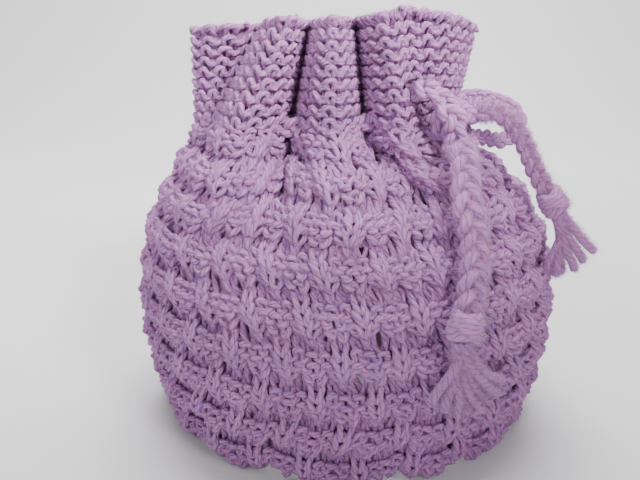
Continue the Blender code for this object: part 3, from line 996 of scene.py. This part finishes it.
def base_sheet(name, panel, eyelets):
    """The thin middle of the cloth, which closes what shows between the stitches; its darkened wool paints
    the shade there.
    """
    columns, lines = BASE_GRID
    levels = np.linspace(*BASE_HEIGHTS, lines + 1)
    across, up = np.meshgrid(np.linspace(0.002, 0.998, columns + 1), levels)
    centre_across = (across[:-1, :-1] + across[1:, 1:]) / 2
    centre_up = (up[:-1, :-1] + up[1:, 1:]) / 2
    kept = np.ones(centre_across.shape, bool)
    for place, height, radius in eyelets:
        away = np.hypot((centre_across - place) * CLOTH_SPAN, centre_up - height)
        kept &= away > max(radius * 0.9 + 0.35, LEAST_OPENING)
    framed = np.pad(kept, 1)
    rows = np.interp(up, row_place(np.arange(BODY_ROWS + 1)), np.arange(BODY_ROWS + 1))
    swell = np.minimum(sizes().relief / MM * body_relief(across * BODY_STITCHES, rows), MOST_BASE_SWELL)
    body = up < BODY_LENGTH - FRILL_OVERLAP
    lift = np.where(body, swell - BODY_BASE_SINK, -FRILL_BASE_SINK) - STITCH_SINK
    outer = panel.lifted(across, up, lift + BASE_THICKNESS / 2).reshape(-1, 3)
    inner = panel.lifted(across, up, lift - BASE_THICKNESS / 2).reshape(-1, 3)
    count = len(outer)
    faces = []
    for row in range(lines):
        for col in range(columns):
            if not kept[row, col]:
                continue
            a = row * (columns + 1) + col
            b, c, d = a + 1, a + columns + 2, a + columns + 1
            faces.append((a, b, c, d))
            faces.append((count + d, count + c, count + b, count + a))
            beside = [framed[row + 1 + i, col + 1 + j] for i, j in ((-1, 0), (0, 1), (1, 0), (0, -1))]
            for here, there, closed in zip((a, b, c, d), (b, c, d, a), beside):
                if not closed:
                    faces.append((here, count + here, count + there, there))
    if panel.facing > 0:
        faces = [face[::-1] for face in faces]
    points = np.vstack([outer, inner])
    points[:, 2] = np.maximum(points[:, 2], LOWEST_BASE)
    mesh = bpy.data.meshes.new(name)
    mesh.from_pydata([tuple(point * MM) for point in points], [], faces)
    mesh.materials.append(named_wool("deep_wool"))
    mesh.polygons.foreach_set("use_smooth", np.ones(len(mesh.polygons), bool))
    mesh.update()
    return place_in_scene(name, mesh)


# ---- Plaits, knots and tassels ----


def plait_strands(route, facing, width, turn_length):
    """Three strands that cross in turn, as points, and their radius, in millimetres."""
    radius = width * STRAND_SHARE
    ahead = unit(np.gradient(route, axis=0))
    side = unit(np.cross(ahead, np.asarray(facing, float)))
    face = np.cross(side, ahead)
    along = np.r_[0, np.cumsum(step_lengths(route))]
    strands = []
    for number in range(3):
        phase = 2 * np.pi * (along / turn_length + number / 3)
        wide = (width / 2 - radius) * np.sin(phase)
        deep = radius * 0.68 * np.sin(2 * phase)
        strands.append(route + side * wide[:, None] + face * deep[:, None])
    return strands, radius


def wound_knot(start, ahead, size):
    """Strands of a knot in a plait's end: a core, slanting bands round it, and a band over them."""
    ahead = ahead / np.linalg.norm(ahead)
    side = np.cross(ahead, (0.0, -0.9, 0.3))
    side /= np.linalg.norm(side)
    face = np.cross(side, ahead)

    def strand(turn, along, reach, thick):
        points = (
            start
            + ahead * along[:, None]
            + side * (reach * np.cos(turn))[:, None]
            + face * (reach * np.sin(turn))[:, None]
        )
        return np.c_[points, np.full(len(points), thick)]

    core_yarn, band_yarn, over_yarn = KNOT_YARNS
    core = np.linspace(-0.5, END_KNOT_LENGTH + 0.5, 12)
    strands = [strand(np.zeros(12), core, np.zeros(12), core_yarn)]
    for band, place in enumerate(KNOT_BANDS):
        turn = np.linspace(0, 2 * np.pi, 30) + band
        belly = size * (0.36 if band in (0, len(KNOT_BANDS) - 1) else 0.41)
        along = END_KNOT_LENGTH * place + 1.3 * np.cos(turn - 0.5)
        strands.append(strand(turn, along, np.full(30, belly), band_yarn))
    part = np.linspace(0, 1, 26)
    for beside in (-0.16, 0.0, 0.16):
        turn = np.pi * (-0.08 + 1.16 * part)
        along = END_KNOT_LENGTH * (0.22 + 0.58 * part + beside)
        reach = size * (0.26 + 0.21 * np.sin(np.pi * part) ** 0.6)
        strands.append(strand(turn, along, reach, over_yarn))
    return strands


def tassel_strands(start, ahead, ends, draws, spread):
    """Yarn ends that leave a knot together and part towards their own ends."""
    ahead = ahead / np.linalg.norm(ahead)
    part = np.linspace(0, 1, 22)[:, None]
    strands = []
    for number, end in enumerate(ends):
        turn = 2 * np.pi * number / len(ends)
        root = start + spread * np.array([math.cos(turn), math.sin(turn) * 0.8, 0])
        length = np.linalg.norm(end - root)
        pull = root + ahead * length * TASSEL_PULL[0] + (end - root) * TASSEL_PULL[1]
        line = root * (1 - part) ** 2 + 2 * pull * part * (1 - part) + end * part**2
        waves = draws.normal(0, 1, (2, 3))
        wiggle = np.sin(part * np.pi * (2.2 + waves[0, 0] * 0.4) + waves[1, 0]) * part * TASSEL_WAVE
        line = line + wiggle * np.array([1, 0.3 * waves[0, 1], 0.2])
        thick = 1 - 0.22 * (part[:, 0] > 0.96)
        strands.append(np.c_[line, thick])
    return strands


# ---- Operators ----


class COSY_OT_stage(bpy.types.Operator):
    """Plain floor that rises behind the cosy, soft light and the camera"""

    bl_idname = "cosy.stage"
    bl_label = "Stage"

    def execute(self, context):
        self.camera(context)
        self.floor()
        self.lights(context)
        return {"FINISHED"}

    def camera(self, context):
        data = bpy.data.cameras.new("camera")
        data.lens = LENS
        data.sensor_width = 36
        data.clip_start = 0.01
        camera = place_in_scene("camera", data)
        camera.location = [value * MM for value in CAMERA_PLACE]
        camera.rotation_euler = (math.radians(90 + CAMERA_PITCH), 0, 0)
        context.scene.camera = camera

    def floor(self):
        radius = FLOOR_BEND_RADIUS
        bend = [
            (FLOOR_BEND_AT + radius * math.sin(turn), radius - radius * math.cos(turn))
            for turn in np.linspace(0, math.pi / 2, 17)[1:]
        ]
        profile = [(-FLOOR_REACH, 0.0), (FLOOR_BEND_AT, 0.0), *bend, (FLOOR_BEND_AT + radius, WALL_TOP)]
        points = [(x, y, z) for y, z in profile for x in (-FLOOR_REACH, FLOOR_REACH)]
        faces = [(2 * i, 2 * i + 1, 2 * i + 3, 2 * i + 2) for i in range(len(profile) - 1)]
        mesh = bpy.data.meshes.new("floor")
        mesh.from_pydata(points, [], faces)
        mesh.polygons.foreach_set("use_smooth", [True] * len(faces))
        material, _, shader = new_material("plain_floor", 0.85)
        shader["Base Color"].default_value = (*colours().floor, 1)
        mesh.materials.append(material)
        place_in_scene("floor", mesh)

    def lights(self, context):
        for name, place, target, spread, size, power, colour in LAMPS:
            data = bpy.data.lights.new(name, "AREA")
            data.shape = "DISK"
            data.size = size
            data.spread = math.radians(spread)
            data.energy = power
            data.color = colour
            lamp = place_in_scene(name, data)
            lamp.location = place
            lamp.rotation_euler = (Vector(target) - Vector(place)).to_track_quat("-Z", "Y").to_euler()
            lamp.visible_camera = False
        world = bpy.data.worlds.new("room")
        world.use_nodes = True
        background = world.node_tree.nodes["Background"]
        background.inputs["Color"].default_value = ROOM_COLOUR
        background.inputs["Strength"].default_value = ROOM_STRENGTH
        context.scene.world = world


class COSY_OT_ties(bpy.types.Operator):
    """The free plaited ends with their wound knots and tassels, and the bow loop"""

    bl_idname = "cosy.ties"
    bl_label = "Tie ends"

    def execute(self, context):
        draws = np.random.default_rng(SEED)
        size = sizes()
        route = front_route(110)
        facing = FRONT.outward(np.full(len(route), 0.66), np.linspace(112, 74, len(route)))
        across, up = FRONT_FAN_AT
        ends = [
            FRONT.lifted(across + fan * FRONT_FAN_STEP, up + drop, lift) for fan, drop, lift in FRONT_FAN
        ]
        self.free_end("front", route, facing, size.front_plait, FRONT_PLAIT_TURN, FRONT_END, ends, draws)
        route = right_route(90)
        facing = (0.25, -0.9, 0.25)
        ends = [
            np.array(RIGHT_FAN_AT) + (fan, lift, drop + RIGHT_FAN_SLOPE * fan)
            for fan, drop, lift in RIGHT_FAN
        ]
        self.free_end("right", route, facing, size.right_plait, RIGHT_PLAIT_TURN, RIGHT_END, ends, draws)
        self.loop()
        return {"FINISHED"}

    def fuzz(self, *pieces):
        loose = []
        for number, (piece, count) in enumerate(zip(pieces, PLAIT_FUZZ)):
            seed = SEED + 20 + number
            fibres = fuzz_object(piece.name + "_fuzz", piece, count, PLAIT_FUZZ_LENGTH, seed)
            finish_piece(fibres, "plaited_wool")
            loose.append(fibres)
        return loose

    def free_end(self, side, route, facing, width, plait_turn, finish, ends, draws):
        """A plait along its route, with its end knot and its tassel."""
        knot_width, root_width, knot_radius, tassel_radius = finish
        plait, radius = plait_strands(route, facing, width / MM, plait_turn)
        cord = yarn_object(f"{side}_plait", plait, radius * MM, "plaiting_yarn", 10)
        ahead = route[-1] - route[-2]
        strands = wound_knot(route[-1], ahead, knot_width)
        knot = yarn_object(f"{side}_end_knot", strands, knot_radius, "plaiting_yarn", 8)
        tassel_start = route[-1] + ahead / np.linalg.norm(ahead) * END_KNOT_LENGTH
        strands = tassel_strands(tassel_start, ahead, ends, draws, root_width)
        tassel = yarn_object(f"{side}_tassel", strands, tassel_radius, "plaiting_yarn", 8)
        for piece, node in ((cord, "tie"), (knot, "end_knot"), (tassel, "tassel")):
            finish_piece(piece, "plaited_wool", f"{node}_{side}")
        loose = self.fuzz(cord, knot, tassel)

    def loop(self):
        route = loop_route(120)
        plait, radius = plait_strands(route, (0.1, -0.95, 0.2), LOOP_WIDTH, LOOP_PLAIT_TURN)
        cord = yarn_object("bow_loop", plait, radius * MM, "plaiting_yarn", 8)
        finish_piece(cord, "plaited_wool", "tie_loop")


class COSY_OT_drawstring(bpy.types.Operator):
    """The plaited drawstring through the neck, and the knot in which it is tied"""

    bl_idname = "cosy.drawstring"
    bl_label = "Drawstring"

    def execute(self, context):
        route = drawstring_route(420)
        outward = route - np.array([RING_CENTRE_X, 0, RING_HEIGHT])
        outward[:, 2] *= 0.5
        outward += np.array([0, -0.01, 0])
        plait, radius = plait_strands(route, outward, DRAWSTRING_WIDTH, FRONT_PLAIT_TURN)
        ring = yarn_object("drawstring_plait", plait, radius * MM, "plaiting_yarn", 8)
        finish_piece(ring, "plaited_wool", "drawstring")
        self.knot()
        return {"FINISHED"}

    def knot(self):
        """The front plait over the top, and the slimmer ones under and behind it."""
        full_width = 9.5
        slim = (6.5, RIGHT_PLAIT_TURN, 0.78)
        routes = (
            # way in, places passed, way out, points, the way it faces, (width, turn, share of the radius)
            (TO_FRILL, KNOT_OVER, TO_FRONT, 40, (-0.1, -1.0, 0.2), (full_width, FRONT_PLAIT_TURN, 1.0)),
            (TO_RIGHT, KNOT_UNDER, TO_LOOP, 70, (0.2, -0.9, 0.3), slim),
            (TO_NECK, KNOT_BEHIND, FROM_LOOP, 30, (1.0, -0.2, 0.3), slim),
        )
        strands = []
        for way_in, places, way_out, count, facing, (width, turn, share) in routes:
            passed = [np.array(TIE_KNOT) + place for place in places]
            route = smooth_route([leave_knot(way_in)[0], *passed, leave_knot(way_out)[0]], count)
            plait, _ = plait_strands(route, facing, width, turn)
            strands.extend(np.c_[strand, np.full(len(strand), share)] for strand in plait)
        radius = full_width * STRAND_SHARE
        knot = yarn_object("tie_knot_plaits", strands, radius * MM, "plaiting_yarn", 8)
        finish_piece(knot, "plaited_wool", "tie_knot")


class COSY_OT_panels(bpy.types.Operator):
    """The two knitted panels: a thin sheet each, and the stitches that make it"""

    bl_idname = "cosy.panels"
    bl_label = "Knitted panels"

    def execute(self, context):
        for side, panel in (("front", FRONT), ("back", BACK)):
            self.knit(side, panel)
        return {"FINISHED"}

    def knit(self, side, panel):
        draws = np.random.default_rng(SEED + (side == "back"))
        eyelets = drawstring_eyelets(panel) + stitch_holes(draws)
        if side == "front":
            eyelets.extend(HOLLOW_EYELETS)
        radius = sizes().yarn / 2
        body = (body_is_knit, body_relief, row_place, BODY_LOOP_HEIGHT, BODY_BULGE, True)
        frill = (frill_is_knit, frill_relief, frill_place, FRILL_LOOP_HEIGHT, FRILL_BULGE, False)
        half = BODY_ROWS // 2
        parts = (
            ("lower_body", range(half), BODY_STITCHES, body),
            ("upper_body", range(half, BODY_ROWS), BODY_STITCHES, body),
            ("frill", range(FRILL_ROWS), FRILL_STITCHES, frill),
        )
        pieces = []
        for part, rows, stitches, pattern in parts:
            paths = [knit_rows(panel, rows, stitches, pattern, eyelets, draws)]
            if part == "frill":
                paths.append(bound_edge(panel))
            pieces.append(yarn_object(f"{side}_{part}_stitches", paths, radius, "knitting_yarn"))
        for number, count in enumerate(KNIT_FUZZ):
            name = pieces[number].name.replace("stitches", "fuzz")
            pieces.append(fuzz_object(name, pieces[number], count, KNIT_FUZZ_LENGTH, SEED + number))
        cloth = base_sheet(f"{side}_cloth", panel, eyelets)
        finish_piece(cloth, "knitted_wool", f"{side}_panel")
        for piece in pieces:
            finish_piece(piece, "knitted_wool")


class COSY_PT_sidebar(bpy.types.Panel):
    """Tea cosy tools in the 3D view's sidebar"""

    bl_label = "Tea cosy"
    bl_space_type = "VIEW_3D"
    bl_region_type = "UI"
    bl_category = "Tea cosy"

    def draw(self, context):
        for group in (context.scene.cosy_sizes, context.scene.cosy_colours):
            for name in group.bl_rna.properties.keys():
                if name not in ("rna_type", "name"):
                    self.layout.prop(group, name)
        for kind in OPERATORS:
            self.layout.operator(kind.bl_idname)


OPERATORS = (COSY_OT_stage, COSY_OT_ties, COSY_OT_drawstring, COSY_OT_panels)
CLASSES = (CosySizes, CosyColours, *OPERATORS, COSY_PT_sidebar)


def register():
    for kind in CLASSES:
        bpy.utils.register_class(kind)
    bpy.types.Scene.cosy_sizes = bpy.props.PointerProperty(type=CosySizes)
    bpy.types.Scene.cosy_colours = bpy.props.PointerProperty(type=CosyColours)


def unregister():
    del bpy.types.Scene.cosy_colours
    del bpy.types.Scene.cosy_sizes
    for kind in reversed(CLASSES):
        bpy.utils.unregister_class(kind)


def main():
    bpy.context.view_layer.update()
    register()
    bpy.ops.cosy.stage()
    bpy.ops.cosy.ties()
    bpy.ops.cosy.drawstring()
    bpy.ops.cosy.panels()


if __name__ == "__main__":
    main()
